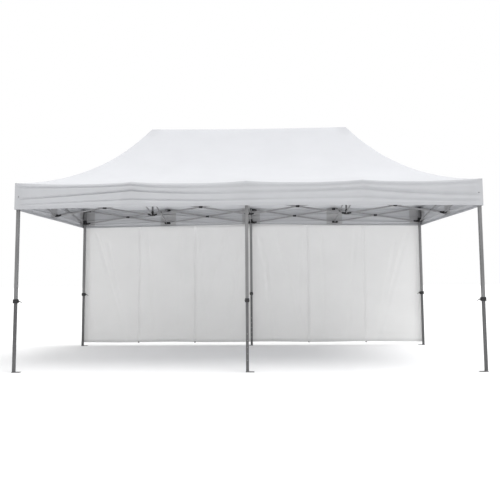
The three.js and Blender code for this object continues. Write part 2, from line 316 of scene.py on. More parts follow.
# The patches are real reinforcements. Their darker colour is painted shade, for the doubled cloth that lets
# less light through.
SHADED_PATCH_CLOTH = coated_cloth("patch_cloth_painted_shade", (0.41, 0.41, 0.417), (0.8, 0.8, 0.82), 0.1, 0.02)
WALL_CLOTH = coated_cloth(
    "wall_cloth", (0.81, 0.81, 0.806), (0.94, 0.94, 0.935), 0.1, 0.2, seams=(0.036,))
# The seam tape is the wall's cloth painted lighter. This is painted light, making up for the light that its
# doubled layer holds back.
WALL_TAPE_PAINTED_LIGHT = coated_cloth("wall_tape_painted_light", (0.9, 0.9, 0.896), (0.97, 0.97, 0.965), 0.1, 0.14)
SMOOTH_ANGLE = math.radians(38)


# ---- solids ----

METAL, PLASTIC, FASTENER = 0, 1, 2
ACROSS = Matrix.Rotation(math.radians(90), 4, "X")
ALONG = Matrix.Rotation(math.radians(90), 4, "Y")
RIM = 0.0004
WASHER_TOP = 0.0011


def rounded_outline(half_x, half_y, radius, steps=4):
    """A rounded rectangle about the origin, counter-clockwise."""
    radius = min(radius, half_x, half_y)
    points = []
    for quarter, (sx, sy) in enumerate([(1, 1), (-1, 1), (-1, -1), (1, -1)]):
        for i in range(steps + 1):
            angle = math.radians(90 * (quarter + i / steps))
            x = sx * (half_x - radius) + radius * math.cos(angle)
            y = sy * (half_y - radius) + radius * math.sin(angle)
            points.append((x, y))
    return points


def stadium(x0, x1, half, steps=8):
    """A long shape with round ends centred on x0 and x1."""
    points = []
    for centre, start in ((x1, -90), (x0, 90)):
        for i in range(steps + 1):
            angle = math.radians(start + 180 * i / steps)
            points.append((centre + half * math.cos(angle), half * math.sin(angle)))
    return points


def edge_steps(low, high, bevel, steps=3):
    """Heights and insets that round both ends of an extrusion."""
    turn = [math.radians(90 * i / steps) for i in range(steps + 1)]
    rise = [(low + bevel * (1 - math.cos(a)), bevel * (1 - math.sin(a))) for a in turn]
    return rise + [(low + high - z, inset) for z, inset in reversed(rise)]


def moved(x=0.0, y=0.0, z=0.0):
    return Matrix.Translation((x, y, z))


def turned_about(point, yaw, tilt=0.0):
    """Local axes at a point: X turned by yaw about Z, then tilted down by tilt, in degrees."""
    return (
        Matrix.Translation(point)
        @ Matrix.Rotation(math.radians(yaw), 4, "Z")
        @ Matrix.Rotation(math.radians(tilt), 4, "Y")
    )


def facing(point, direction):
    """Local axes at a point with Z along a direction."""
    return Matrix.Translation(point) @ Vector(direction).to_track_quat("Z", "Y").to_matrix().to_4x4()


class Solid:
    """Gathers the faces of one piece. Each face has the number of its material."""

    def __init__(self):
        self.points = []
        self.faces = []
        self.kinds = []

    def add(self, points, faces, kind, place=Matrix()):
        first = len(self.points)
        self.points.extend(place @ Vector(p) for p in points)
        self.faces.extend([first + i for i in face] for face in faces)
        self.kinds.extend([kind] * len(faces))

    def loft(self, rings, kind, place=Matrix(), closed=False):
        """Skins equal rings, and fills the two end rings unless the rings close on themselves."""
        n = len(rings[0])
        count = len(rings)
        faces = []
        for r in range(count if closed else count - 1):
            a, b = r * n, (r + 1) % count * n
            faces += [(a + i, a + (i + 1) % n, b + (i + 1) % n, b + i) for i in range(n)]
        if not closed:
            faces.append(tuple(reversed(range(n))))
            faces.append(tuple((count - 1) * n + i for i in range(n)))
        self.add([p for ring in rings for p in ring], faces, kind, place)

    def block(self, low, high, bevel, kind, place=Matrix()):
        """A box with rounded edges and corners."""
        cx, cy = (low[0] + high[0]) / 2, (low[1] + high[1]) / 2
        half_x, half_y = (high[0] - low[0]) / 2, (high[1] - low[1]) / 2
        rings = []
        for z, inset in edge_steps(low[2], high[2], bevel):
            outline = rounded_outline(half_x - inset, half_y - inset, bevel * 1.3 - inset)
            rings.append([(cx + x, cy + y, z) for x, y in outline])
        self.loft(rings, kind, place)

    def hollow(self, half_x, half_y, wall, radius, low, high, kind, place):
        """A square tube with rounded corners, open at both ends, along local Z."""
        outer = rounded_outline(half_x, half_y, radius)
        inner = rounded_outline(half_x - wall, half_y - wall, max(radius - wall, 0.0006))
        drawn_in = [(x * (1 - RIM / half_x), y * (1 - RIM / half_y)) for x, y in outer]
        levels = ((outer, low + RIM), (outer, high - RIM), (drawn_in, high), (inner, high), (inner, low),
                  (drawn_in, low))
        self.loft([[(x, y, z) for x, y in outline] for outline, z in levels], kind, place, closed=True)

    def slab(self, outline, low, high, bevel, place):
        """Extrudes outline(inset), drawn in X and Z, along Y with rounded edges."""
        rings = [[(x, y, z) for x, z in outline(inset)] for y, inset in edge_steps(low, high, bevel, 2)]
        self.loft([list(reversed(ring)) for ring in rings], PLASTIC, place)

    def oval_slab(self, x0, x1, half, low, high, bevel, place):
        """A plate across local Y with round ends centred on x0 and x1."""
        self.slab(lambda inset: stadium(x0, x1, half - inset), low, high, bevel, place)

    def lathe(self, profile, kind, place=Matrix(), sides=24):
        """Turns (radius, height) pairs about local Z."""
        angles = [2 * math.pi * i / sides for i in range(sides)]
        rings = [[(r * math.cos(a), r * math.sin(a), z) for a in angles] for r, z in profile]
        self.loft(rings, kind, place)

    def tube_of(self, profile, kind, place=Matrix(), sides=28):
        """Turns a closed outline of (radius, height) pairs about local Z, leaving the middle open."""
        rings = []
        for i in range(sides):
            a = 2 * math.pi * i / sides
            rings.append([(r * math.cos(a), r * math.sin(a), z) for r, z in profile])
        self.loft(rings, kind, place, closed=True)

    def ring(self, major, minor, kind, place, sides=24, around=8):
        """A round ring lying in local XY."""
        turns = [2 * math.pi * j / around for j in reversed(range(around))]
        self.tube_of([(major + minor * math.cos(b), minor * math.sin(b)) for b in turns], kind, place, sides)

    def bolt(self, place, point, way, size=0.0056, nut=False):
        """A washer with a hexagon head or a locking nut, at a local point, facing local Y or -Y."""
        out = facing(place @ Vector(point), place.to_3x3() @ Vector((0, way, 0)))
        washer = [(0.0032, 0), (size * 1.35, 0), (size * 1.4, 0.0003)]
        washer += [(size * 1.35, WASHER_TOP), (0.0032, WASHER_TOP)]
        self.lathe(washer, FASTENER, out)
        top = WASHER_TOP + (0.0046 if nut else 0.0036)
        head = [(size * 0.94, WASHER_TOP), (size, 0.0016), (size, top - 0.0006), (size * 0.86, top)]
        self.lathe(head, FASTENER, out, sides=6)
        if nut:
            collar = [(0.0042, top - 0.0004), (0.0041, top + 0.0007), (0.003, top + 0.0016)]
            self.lathe(collar, FASTENER, out)
            thread = [(0.0027, top), (0.0027, top + 0.0028), (0.0021, top + 0.0034)]
            self.lathe(thread, FASTENER, out, sides=16)

    def shank(self, place, x, radius, half):
        """The middle of a bolt that runs along local Y at x."""
        self.lathe([(radius, -half), (radius, half)], FASTENER, place @ moved(x) @ ACROSS, sides=12)

    def mesh(self, name):
        data = bpy.data.meshes.new(name)
        data.from_pydata([tuple(p) for p in self.points], [], self.faces)
        data.polygons.foreach_set("material_index", self.kinds)
        data.polygons.foreach_set("use_smooth", [True] * len(self.faces))
        data.set_sharp_from_angle(angle=SMOOTH_ANGLE)
        return data


def in_scene(name, data):
    made = bpy.data.objects.new(name, data)
    bpy.context.scene.collection.objects.link(made)
    return made


def new_object(name, data, materials):
    for material in materials:
        data.materials.append(material)
    return in_scene(name, data)


def with_holes(solid, cutter):
    """The mesh of one closed solid with the cutter's solids taken out of it."""
    block = new_object("block", solid.mesh("block"), [])
    tool = new_object("tool", cutter.mesh("tool"), [])
    modifier = block.modifiers.new("holes", "BOOLEAN")
    modifier.operation = "DIFFERENCE"
    modifier.solver = "EXACT"
    modifier.object = tool
    bpy.context.view_layer.update()
    shaped = bpy.data.meshes.new_from_object(block.evaluated_get(bpy.context.evaluated_depsgraph_get()))
    for used in (block, tool):
        bpy.data.objects.remove(used)
    return shaped


def joined(name, meshes):
    """One mesh with the faces of several."""
    whole = bmesh.new()
    for data in meshes:
        whole.from_mesh(data)
    made = bpy.data.meshes.new(name)
    whole.to_mesh(made)
    whole.free()
    made.set_sharp_from_angle(angle=SMOOTH_ANGLE)
    return made


# ---- folding ----

def folded_bodies():
    """Each body's matrix with the frame folded to the limit of frame_fold, locks and legs at rest."""
    limit = math.radians(JOINTS["frame_fold"]["range_deg"][1])
    couplings = RECORD["behaviour"]["couplings"]
    ratio = {c["joint"]: c["ratio"] for c in couplings if c["follows"] == "frame_fold"}
    ratio["frame_fold"] = 1
    by_child = {j["child"]: j for j in frame["joints"]}
    found = {}

    def matrix_of(body):
        if body not in by_child:
            return Matrix()
        joint = by_child[body]
        if joint["type"] != "hinge":
            return matrix_of(joint["parent"])
        if body not in found:
            pivot = Matrix.Translation(joint["pos_m"])
            turn = Matrix.Rotation(limit * ratio.get(joint["name"], 0), 4, Vector(joint["axis"]))
            found[body] = matrix_of(joint["parent"]) @ pivot @ turn @ pivot.inverted()
        return found[body]

    return {body: matrix_of(body) for body in frame["bodies"]}


FOLDED = folded_bodies()
SHRINK = (FOLDED["leg_outer_rr"] @ LEGS["rr"]).x / LEGS["rr"].x
DROP = -FOLDED["slider_rr"].translation.z


def unit(yaw):
    return Vector((math.cos(math.radians(yaw)), math.sin(math.radians(yaw)), 0))


def at_level(node, low):
    return Vector((node.x, node.y, LOW_PIN_Z if low else TOP_PIN_Z))


def folded_point(node, offset, low):
    """Where a pin at `offset` from a grid node is when the frame is folded. Low pins drop."""
    x, y, _ = FIXED_LEG + (node - FIXED_LEG) * SHRINK
    return Vector((x, y, node.z - (DROP if low else 0))) + offset


def ride_and_slide(piece, body, point, target):
    """The piece turns with a body, and gets a mesh of its own where turning alone would not bring `point` to
    `target` as the frame folds.
    """
    back = FOLDED[body].inverted()
    move = back @ target - point
    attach(piece, body)
    if move.length > 1e-5:
        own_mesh(piece)


def stand_in(piece, node):
    """The piece replaces a CAD node, and rides on the body that has the node's name."""
    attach(piece, node)
    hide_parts(node)


# ---- frame hardware ----

TUBE_HALF, INNER_HALF, TUBE_WALL = 0.020, 0.018, 0.0016
BAR_HALF_THICK, BAR_HALF_DEPTH, BAR_CORNER = 0.006, 0.0125, 0.0045
BAR_END = 0.030
ARM_HALF_WIDE, ARM_HALF_HIGH = 0.0185, 0.0145
ARM_ROOT = 0.0355
ARM_WEB = (0.0205, 0.034)
HUB_HALF = 0.0158
HUB_ROOT = 0.0295
HUB_WEB = (0.012, HUB_HALF)
GUIDE_BORE = 0.0152
GUIDE_WEB = (0.0156, 0.0195)
FRAME_KINDS = [BAR_STEEL, NYLON, BLACK_BOLT]
HEIGHT_HOLES = (0.14, 0.22, 0.30, 0.38, 0.46)
STAKE_HOLES = (0.040, 0.066)
LOCK_PIN_X = 0.036


def scissor_bar(name, start, end, side):
    """A flat tube between two pins with moulded ends and its half of the middle bolt.

    start and end lie in the truss's middle plane, and side says on which side of it the bar is.
    """
    run = end - start
    long = run.length
    yaw = math.degrees(math.atan2(run.y, run.x))
    tilt = -math.degrees(math.atan2(run.z, math.hypot(run.x, run.y)))
    place = turned_about(start, yaw, tilt) @ moved(y=side * BAR_PLANE)
    solid = Solid()
    outline = rounded_outline(BAR_HALF_DEPTH, BAR_HALF_THICK, BAR_CORNER)
    solid.loft([[(x, y, z) for x, y in outline] for z in (0.010, long - 0.010)], METAL, place @ ALONG)
    thick = BAR_HALF_THICK + 0.0004
    boss = [(0.0085, -0.0072), (0.009, -0.0066), (0.009, 0.0066), (0.0085, 0.0072)]
    for centre, inward in ((0, 1), (long, -1)):
        ends = sorted((centre, centre + inward * BAR_END))
        solid.oval_slab(*ends, BAR_HALF_DEPTH + 0.0008, -thick, thick, 0.0018, place)
        solid.lathe(boss, PLASTIC, place @ moved(centre) @ ACROSS)
    solid.bolt(place, (long / 2, side * (BAR_HALF_THICK + 0.0027), 0), side, nut=side < 0)
    faces = sorted((side * (BAR_HALF_THICK + 0.0028), -side * (BAR_HALF_THICK + 0.0009)))
    solid.oval_slab(long / 2 - 0.015, long / 2 + 0.015, BAR_HALF_DEPTH + 0.0025, *faces, 0.0012, place)
    return new_object(name, solid.mesh(name), FRAME_KINDS)


def fork_arm(solid, place, side, root, pin_out, web=None):
    """Two cheeks either side of a bar, a cover over them, the pivot bolt, and a web behind the bar."""
    half_slot = BAR_HALF_THICK + 0.0012
    below, above = side * BAR_PLANE - half_slot, side * BAR_PLANE + half_slot
    for low, high in ((-ARM_HALF_WIDE, below), (above, ARM_HALF_WIDE)):
        solid.oval_slab(root, pin_out, ARM_HALF_HIGH, low, high, 0.0014, place)
    if web:
        solid.block((web[0], -ARM_HALF_WIDE, -ARM_HALF_HIGH), (web[1], ARM_HALF_WIDE, ARM_HALF_HIGH),
                    0.0015, PLASTIC, place)
    low, high = sorted((side * 0.0137, side * 0.0157))
    solid.block((root - 0.008, -ARM_HALF_WIDE, low), (pin_out + 0.009, ARM_HALF_WIDE, high),
                0.0008, PLASTIC, place)
    for way in (1, -1):
        solid.bolt(place, (pin_out, way * (ARM_HALF_WIDE - 0.0002), 0), way, nut=way < 0)
    solid.shank(place, pin_out, 0.003, ARM_HALF_WIDE)


def leg_tube(leg):
    """Outer tube with its top bracket and lock housing: everything that stands on one leg body."""
    foot = LEGS[leg]
    solid = Solid()
    solid.hollow(TUBE_HALF, TUBE_HALF, TUBE_WALL, 0.0045, LOCK_LOW_Z + 0.004, LEG_TOP_Z - 0.003, METAL,
                 moved(foot.x, foot.y))
    top = moved(foot.x, foot.y, TOP_PIN_Z)
    solid.hollow(0.026, 0.026, 0.0058, 0.007, -0.017, 0.015, PLASTIC, top)
    solid.hollow(0.0275, 0.0275, 0.0074, 0.008, -0.003, 0.003, PLASTIC, top)
    solid.block((-0.0235, -0.0235, 0.012), (0.0235, 0.0235, 0.0215), 0.004, PLASTIC, top)
    solid.lathe([(0.013, 0.021), (0.0125, 0.0235), (0.009, 0.025), (0.004, 0.0255)], PLASTIC, top)
    for yaw in TRUSS_YAWS[leg]:
        arm = turned_about(at_level(foot, False), yaw)
        fork_arm(solid, arm, 1, ARM_ROOT, PIN_OUT, ARM_WEB)
        solid.slab(lambda inset: [(0.021, -0.03 + inset), (0.047 - inset, -0.010), (0.021, -0.006)],
                   -0.003, 0.003, 0.0008, arm)
    lock = turned_about((foot.x, foot.y, (LOCK_LOW_Z + LOCK_HIGH_Z) / 2), LEVER_YAW[leg])
    half = (LOCK_HIGH_Z - LOCK_LOW_Z) / 2
    solid.hollow(0.030, 0.026, 0.0072, 0.006, -half, half, PLASTIC, lock)
    solid.hollow(0.0285, 0.0245, 0.0055, 0.006, half - 0.002, half + 0.003, PLASTIC, lock)
    solid.hollow(0.0312, 0.0272, 0.0082, 0.0065, -half, -half + 0.006, PLASTIC, lock)
    for side in (-1, 1):
        cheek = (side * 0.0102 - 0.0028, side * 0.0102 + 0.0028)
        solid.oval_slab(0.029, LOCK_PIN_X, 0.0095, *cheek, 0.0012, lock)
        solid.bolt(lock, (LOCK_PIN_X, side * 0.0130, 0), side, size=0.0036)
        for along in (-0.013, 0.013):
            solid.bolt(lock, (along, side * 0.0258, 0), side, size=0.0048)
    solid.shank(lock, LOCK_PIN_X, 0.0022, 0.013)
    return new_object(f"leg_tube_{leg}", solid.mesh("leg_tube"), [STEEL, NYLON, BLACK_BOLT])


def inner_leg(leg):
    """Inner tube with its row of height holes, and a foot plate with stake holes."""
    foot = LEGS[leg]
    place = turned_about((foot.x, foot.y, 0), FOOT_YAW[leg])
    tube, plate, trim = Solid(), Solid(), Solid()
    button_holes, stake_holes = Solid(), Solid()
    tube.hollow(INNER_HALF, INNER_HALF, TUBE_WALL, 0.004, 0.004, INNER_TOP_Z, METAL, place)
    plate.block((-0.020, -0.030, 0), (0.084, 0.030, 0.005), 0.0018, METAL, place)
    for height in HEIGHT_HOLES:
        through = place @ moved(z=height) @ ACROSS
        button_holes.lathe([(0.0045, -0.04), (0.0045, 0.04)], METAL, through, sides=20)
    weld = [[(x, y, z) for x, y in rounded_outline(INNER_HALF + w, INNER_HALF + w, 0.0045 + w)]
            for z, w in ((0.0045, 0.0045), (0.006, 0.0036), (0.0085, 0.0014), (0.011, 0.0002))]
    trim.loft(weld, METAL, place)
    for along in STAKE_HOLES:
        stake_holes.lathe([(0.0055, -0.02), (0.0055, 0.02)], METAL, place @ moved(along), sides=20)
        trim.ring(0.0068, 0.0009, METAL, place @ moved(along, 0, 0.0052), sides=20, around=6)
    parts = [with_holes(tube, button_holes), with_holes(plate, stake_holes), trim.mesh("trim")]
    return new_object(f"inner_leg_{leg}", joined("inner_leg", parts), [INNER_STEEL])


def slider(leg):
    """Moulded sleeve on the outer tube: arms, ribs, and a sprung pin with its pull ring."""
    at = at_level(LEGS[leg], True)
    place = Matrix.Translation(at)
    solid = Solid()
    solid.hollow(0.026, 0.026, 0.0055, 0.0065, -0.012, 0.034, PLASTIC, place)
    solid.hollow(0.0245, 0.0245, 0.0038, 0.0062, 0.033, 0.056, PLASTIC, place)
    for low in (-0.0118, 0.0085, 0.0278, 0.0505):
        solid.hollow(0.0272, 0.0272, 0.0067, 0.008, low, low + 0.006, PLASTIC, place)
    for yaw in TRUSS_YAWS[leg]:
        arm = turned_about(at, yaw)
        fork_arm(solid, arm, -1, ARM_ROOT, PIN_OUT, ARM_WEB)
        solid.slab(lambda inset: [(0.021, 0.008), (0.047 - inset, 0.011), (0.021, 0.031 - inset)],
                   -0.003, 0.003, 0.0008, arm)
    pull = turned_about(at, PULL_YAW[leg]) @ moved(0.026, 0, 0.014)
    outward = pull @ ALONG
    cap = [(0.010, 0), (0.010, 0.003), (0.0075, 0.0045), (0.007, 0.010), (0.0055, 0.0112)]
    solid.lathe(cap, PLASTIC, outward)
    solid.lathe([(0.003, 0.010), (0.003, 0.0145), (0.0024, 0.015)], FASTENER, outward, sides=14)
    hanging = Matrix.Rotation(math.radians(82), 4, "Y")
    solid.ring(0.010, 0.0011, FASTENER, pull @ moved(0.0135, 0, -0.010) @ hanging)
    return new_object(f"sleeve_{leg}", solid.mesh("sleeve"), [STEEL, NYLON, BLACK_BOLT])


def lock_lever(leg):
    """Thumb lever of a leg lock: an eye, a bent tongue that thins to its tip, and grip ridges."""
    place = turned_about(JOINTS[f"press_lock_{leg}"]["pos_m"], LEVER_YAW[leg])
    spine = [(0.0, 0.0), (0.008, -0.0008), (0.017, -0.0035)]
    spine += [(0.026, -0.0078), (0.035, -0.0125), (0.045, -0.0178)]
    half = [0.0052, 0.0050, 0.0044, 0.0038, 0.0032, 0.0022]
    width = [0.0052, 0.0056, 0.0060, 0.0063, 0.0064, 0.0055]
    rings = []
    for i, (x, z) in enumerate(spine):
        x0, z0 = spine[max(i - 1, 0)]
        x1, z1 = spine[min(i + 1, len(spine) - 1)]
        slope = math.atan2(z1 - z0, x1 - x0)
        outline = rounded_outline(half[i], width[i], 0.0022)
        rings.append([(x - u * math.sin(slope), v, z + u * math.cos(slope)) for u, v in outline])
    solid = Solid()
    solid.loft(rings, METAL, place)
    eye = [(0.0056, -0.0062), (0.0060, -0.0056), (0.0060, 0.0056), (0.0056, 0.0062)]
    solid.lathe(eye, METAL, place @ ACROSS)
    grip_start, grip_step, grip_slope = 0.026, 0.0048, 0.51
    for i in range(4):
        x = grip_start + grip_step * i
        z = -0.0078 - grip_slope * (x - grip_start) + 0.0036
        ridge = [(0.0006, -0.0048), (0.0010, -0.0042), (0.0010, 0.0042), (0.0006, 0.0048)]
        solid.lathe(ridge, METAL, place @ moved(x, 0, z) @ ACROSS, sides=10)
    return new_object(f"lever_{leg}", solid.mesh("lever"), [LEVER_NYLON])


def hub(name, at, ways, side, guide=False):
    """A fork for each bar round a moulded block, or round the collar that a pole runs in."""
    solid = Solid()
    place = Matrix.Translation(at)
    if guide:
        collar = [(0.0205, -0.013), (0.0215, -0.011), (0.0215, 0.022), (0.0195, 0.026)]
        collar += [(GUIDE_BORE, 0.026), (GUIDE_BORE, -0.013)]
        solid.tube_of(collar, PLASTIC, place)
    else:
        solid.block((-HUB_HALF, -HUB_HALF, -ARM_HALF_HIGH), (HUB_HALF, HUB_HALF, ARM_HALF_HIGH + 0.006),
                    0.003, PLASTIC, place)
    for yaw in ways:
        fork_arm(solid, turned_about(at, yaw), side, HUB_ROOT, HUB_PIN_OUT, GUIDE_WEB if guide else HUB_WEB)
    return new_object(name, solid.mesh("hub"), FRAME_KINDS)


def mid_bracket(name, at, along, inward, low):
    """Two plates either side of the bars' middle pin, tied together, and a fork for the cross truss."""
    solid = Solid()
    place = turned_about(at, along)
    level = -1 if low else 1
    reach = 0.034
    tie = sorted((level * 0.0138, level * 0.0172))
    for face in (-1, 1):
        plate = sorted((face * 0.0144, face * 0.0166))
        solid.oval_slab(-reach, reach, 0.018, *plate, 0.0007, place)
        solid.bolt(place, (0, face * 0.0165, 0), face, nut=face < 0)
        solid.block((face * reach - 0.004, -0.0146, tie[0]), (face * reach + 0.004, 0.0146, tie[1]),
                    0.0008, PLASTIC, place)
    solid.shank(place, 0, 0.003, 0.0166)
    fork_arm(solid, turned_about(at, inward), level, 0.0285, HUB_PIN_OUT)
    return new_object(name, solid.mesh("bracket"), FRAME_KINDS)


def peak_pole(side):
    """Pole that lifts one roof peak: lower hub, round tube, and a domed cap under the cloth."""
    at = Vector((SIDE_SIGNS[side] * PEAK_X, 0, LOW_PIN_Z))
    place = Matrix.Translation(at)
    top = POLE_TOP_Z - LOW_PIN_Z
    solid = Solid()
    solid.block((-HUB_HALF, -HUB_HALF, -0.014), (HUB_HALF, HUB_HALF, 0.032), 0.003, PLASTIC, place)
    solid.lathe([(0.0185, 0.030), (0.0185, 0.052), (0.0165, 0.055), (0.0142, 0.055)], PLASTIC, place)
    for yaw in (0, 90, 180, 270):
        fork_arm(solid, turned_about(at, yaw), -1, HUB_ROOT, HUB_PIN_OUT, HUB_WEB)
    tube = [(0.0135, 0.020), (0.0140, 0.021), (0.0140, top - 0.040), (0.0135, top - 0.039)]
    solid.lathe(tube, METAL, place, sides=32)
    dome = [(0.0155, top - 0.060), (0.0165, top - 0.058), (0.0165, top - 0.020), (0.030, top - 0.014)]
    dome += [(0.0335, top - 0.010), (0.030, top - 0.005), (0.020, top - 0.001), (0.006, top)]
    solid.lathe(dome, PLASTIC, place, sides=32)
    return new_object(f"pole_{side}", solid.mesh("pole"), [POLE_STEEL, NYLON, BLACK_BOLT])


def build_legs():
    for leg in LEGS:
        stand_in(leg_tube(leg), f"leg_outer_{leg}")
        stand_in(inner_leg(leg), f"leg_inner_{leg}")
        stand_in(slider(leg), f"slider_{leg}")
        stand_in(lock_lever(leg), f"lock_lever_{leg}")


def build_cad_bars():
    """The bars that the CAD model has: two for each leg end of a truss, and the two ridge bars."""
    for truss, (first, second) in TRUSSES.items():
        for leg, other in ((first, second), (second, first)):
            way = (LEGS[other] - LEGS[leg]).normalized()
            middle = (LEGS[leg] + LEGS[other]) / 2
            for low, level, side in ((False, "high", 1), (True, "low", -1)):
                start = at_level(LEGS[leg] + way * PIN_OUT, low)
                bar = scissor_bar(f"scissor_{truss}_{leg}_{level}", start, at_level(middle, not low), side)
                stand_in(bar, f"bar_{truss}_{leg}_{level}")
    for side, sign in SIDE_SIGNS.items():
        way = unit(0 if sign > 0 else 180)
        start = at_level(way * HUB_PIN_OUT, False)
        end = at_level(way * (PEAK_X - HUB_PIN_OUT), True)
        stand_in(scissor_bar(f"scissor_ridge_{side}_high", start, end, 1), f"bar_ridge_{side}")


def extra_bar(name, node, yaw, low, host):
    """One more bar of the grid, from a node along yaw, turning with the CAD bar parallel to it."""
    way = unit(yaw)
    start = at_level(node + way * HUB_PIN_OUT, low)
    end = at_level(node + way * (HALF_BAY - HUB_PIN_OUT), not low)
    bar = scissor_bar(name, start, end, -1 if low else 1)
    ride_and_slide(bar, host, start, folded_point(at_level(node, low), way * HUB_PIN_OUT, low))


def build_extra_bars():
    """Bars of the middle line and of the two cross trusses through the peaks."""
    for side, sign in SIDE_SIGNS.items():
        yaw = 0 if sign > 0 else 180
        pole = Vector((sign * PEAK_X, 0, 0))
        outward = f"bar_rear_{side}_rc"
        extra_bar(f"scissor_ridge_{side}_low", Vector(), yaw, True, f"{outward}_low")
        extra_bar(f"scissor_end_{side}_high", pole, yaw, False, f"{outward}_high")
        extra_bar(f"scissor_end_{side}_low", pole, yaw, True, f"{outward}_low")
        for row, way in ROW_SIGNS.items():
            middle = Vector((sign * PEAK_X, way * HALF_BAY, 0))
            for low, level in ((False, "high"), (True, "low")):
                extra_bar(f"scissor_cross_{side}_{row}_{level}", middle, way * -90, low,
                          f"bar_{side}_{row[0]}{side[0]}_{level}")


def place_bracket(name, node, along, inward, leg):
    for low, host in ((False, f"leg_outer_{leg}"), (True, f"slider_{leg}")):
        start = at_level(node, low)
        piece = mid_bracket(f"{name}_{'low' if low else 'high'}", start, along, inward, low)
        ride_and_slide(piece, host, start, folded_point(start, Vector(), low))


def build_hubs():
    """Brackets where the trusses cross between the legs, the hubs of the poles and the centre hub."""
    for side, sign in SIDE_SIGNS.items():
        for row, way in ROW_SIGNS.items():
            node = Vector((sign * PEAK_X, way * HALF_BAY, 0))
            place_bracket(f"mid_bracket_{row}_{side}", node, 0, way * -90, f"{row[0]}{side[0]}")
        node = Vector((sign * 2 * PEAK_X, 0, 0))
        place_bracket(f"mid_bracket_end_{side}", node, 90, 90 + sign * 90, f"r{side[0]}")
        start = at_level(Vector((sign * PEAK_X, 0, 0)), False)
        guide = hub(f"pole_guide_{side}", start, (0, 90, 180, 270), 1, guide=True)
        target = folded_point(start, Vector(), False)
        ride_and_slide(guide, f"leg_outer_r{side[0]}", start, target)
        stand_in(peak_pole(side), f"peak_pole_{side}")
    stand_in(hub("centre_hub_high", at_level(Vector(), False), (0, 180), 1), "centre_hub")
    start = at_level(Vector(), True)
    lower = hub("centre_hub_low", start, (0, 180), -1)
    ride_and_slide(lower, "slider_rc", start, folded_point(start, Vector(), True))


# ---- cloth ----

# How the roof's section bends: the share of its rise that is straight, and the power of the rest.
STRAIGHT_SHARE = 0.3
SAG_POWER = 2.34
SUPPORT_RISE = 0.010
EAVE_SAG = 0.026
RIDGE_SAG = 0.012
RIDGE_ROUND = 0.012
CORNER_ROUND = 0.075
ROOF_RIPPLE = 0.0035
ROOF_RIPPLE_SIZE = 0.23


def soft_max(a, b, width):
    """The larger of a and b, with the corner between them rounded."""
    return (a + b + np.sqrt((a - b) ** 2 + width ** 2)) / 2


def eave_rise(s):
    """Height of the eave line above its level: up on the frame's joints, and sagging between them."""
    share = (np.abs(s) / HALF_BAY) % 1
    return SUPPORT_RISE - EAVE_SAG * (4 * share * (1 - share)) ** 0.8


def ripple(x, y, size):
    """Slow random-looking waves, the same on each run."""
    waves = ((1.0, 0.35, 0.2), (-0.55, 1.25, 1.7), (1.9, -0.8, 0.6), (0.7, 2.3, 2.9), (-2.6, 1.4, 4.1))
    return sum(np.sin((a * x + b * y) / size + c) for a, b, c in waves) / len(waves)


def roof_height(x, y):
    """Height of the roof cloth over a point of the plan."""
    over_x = np.abs(x) - PEAK_X
    reach = np.maximum(np.abs(y), over_x) / EAVE_Y
    loose = np.clip(1 - reach, 0, 1)
    ridge = np.hypot(y, RIDGE_ROUND * loose)
    t = np.clip(1 - soft_max(ridge, over_x, CORNER_ROUND * loose * reach) / EAVE_Y, 0, 1)
    z = EAVE_Z + (RIDGE_Z - EAVE_Z) * (STRAIGHT_SHARE * t + (1 - STRAIGHT_SHARE) * t ** SAG_POWER)
    on_end = over_x > np.abs(y)
    side = np.where(on_end, y, x)
    z = z + eave_rise(side) * (1 - t) ** 4
    between = np.clip(1 - (x / PEAK_X) ** 2, 0, 1)
    z = z - RIDGE_SAG * between * t ** 5
    return z + ROOF_RIPPLE * ripple(x, y, ROOF_RIPPLE_SIZE) * np.sqrt(4 * t * (1 - t))


def grid_mesh(name, points, uv, material):
    """A cloth surface through rows of points. UV is in metres."""
    rows, columns = points.shape[:2]
    index = np.arange(rows * columns).reshape(rows, columns)
    quads = np.stack([index[:-1, :-1], index[:-1, 1:], index[1:, 1:], index[1:, :-1]], -1).reshape(-1, 4)
    data = bpy.data.meshes.new(name)
    data.from_pydata(points.reshape(-1, 3).tolist(), [], quads.tolist())
    data.polygons.foreach_set("use_smooth", [True] * len(quads))
    layer = data.uv_layers.new(name="metres")
    layer.data.foreach_set("uv", uv.reshape(-1, 2)[quads.ravel()].ravel())
    return new_object(name, data, [material])


def cloth_area(points):
    """Area of a grid of points, from the two triangles of each cell."""
    a, b = points[:-1, :-1], points[:-1, 1:]
    c, d = points[1:, 1:], points[1:, :-1]
    halves = np.cross(b - a, c - a), np.cross(c - a, d - a)
    return float(sum(np.linalg.norm(h, axis=-1).sum() for h in halves) / 2)


def lengths_along(points):
    """Running length down each column of a grid of points."""
    steps = np.linalg.norm(np.diff(points, axis=0), axis=-1)
    return np.vstack([np.zeros(points.shape[1]), np.cumsum(steps, axis=0)])


def declare_sheet(piece, points):
    """Works out a sheet's cut size, from its longest row and column of points, and its area, and returns
    nothing.
    """
    tall = float(lengths_along(points)[-1].max())
    wide = float(lengths_along(points.transpose(1, 0, 2))[-1].max())
    flat = (round(wide * 1.005, 3), round(tall * 1.005, 3))
    area = min(cloth_area(points), flat[0] * flat[1])


ROOF_ROWS = 64
ROOF_COLUMNS = 30
PEAK_STOP = 0.985


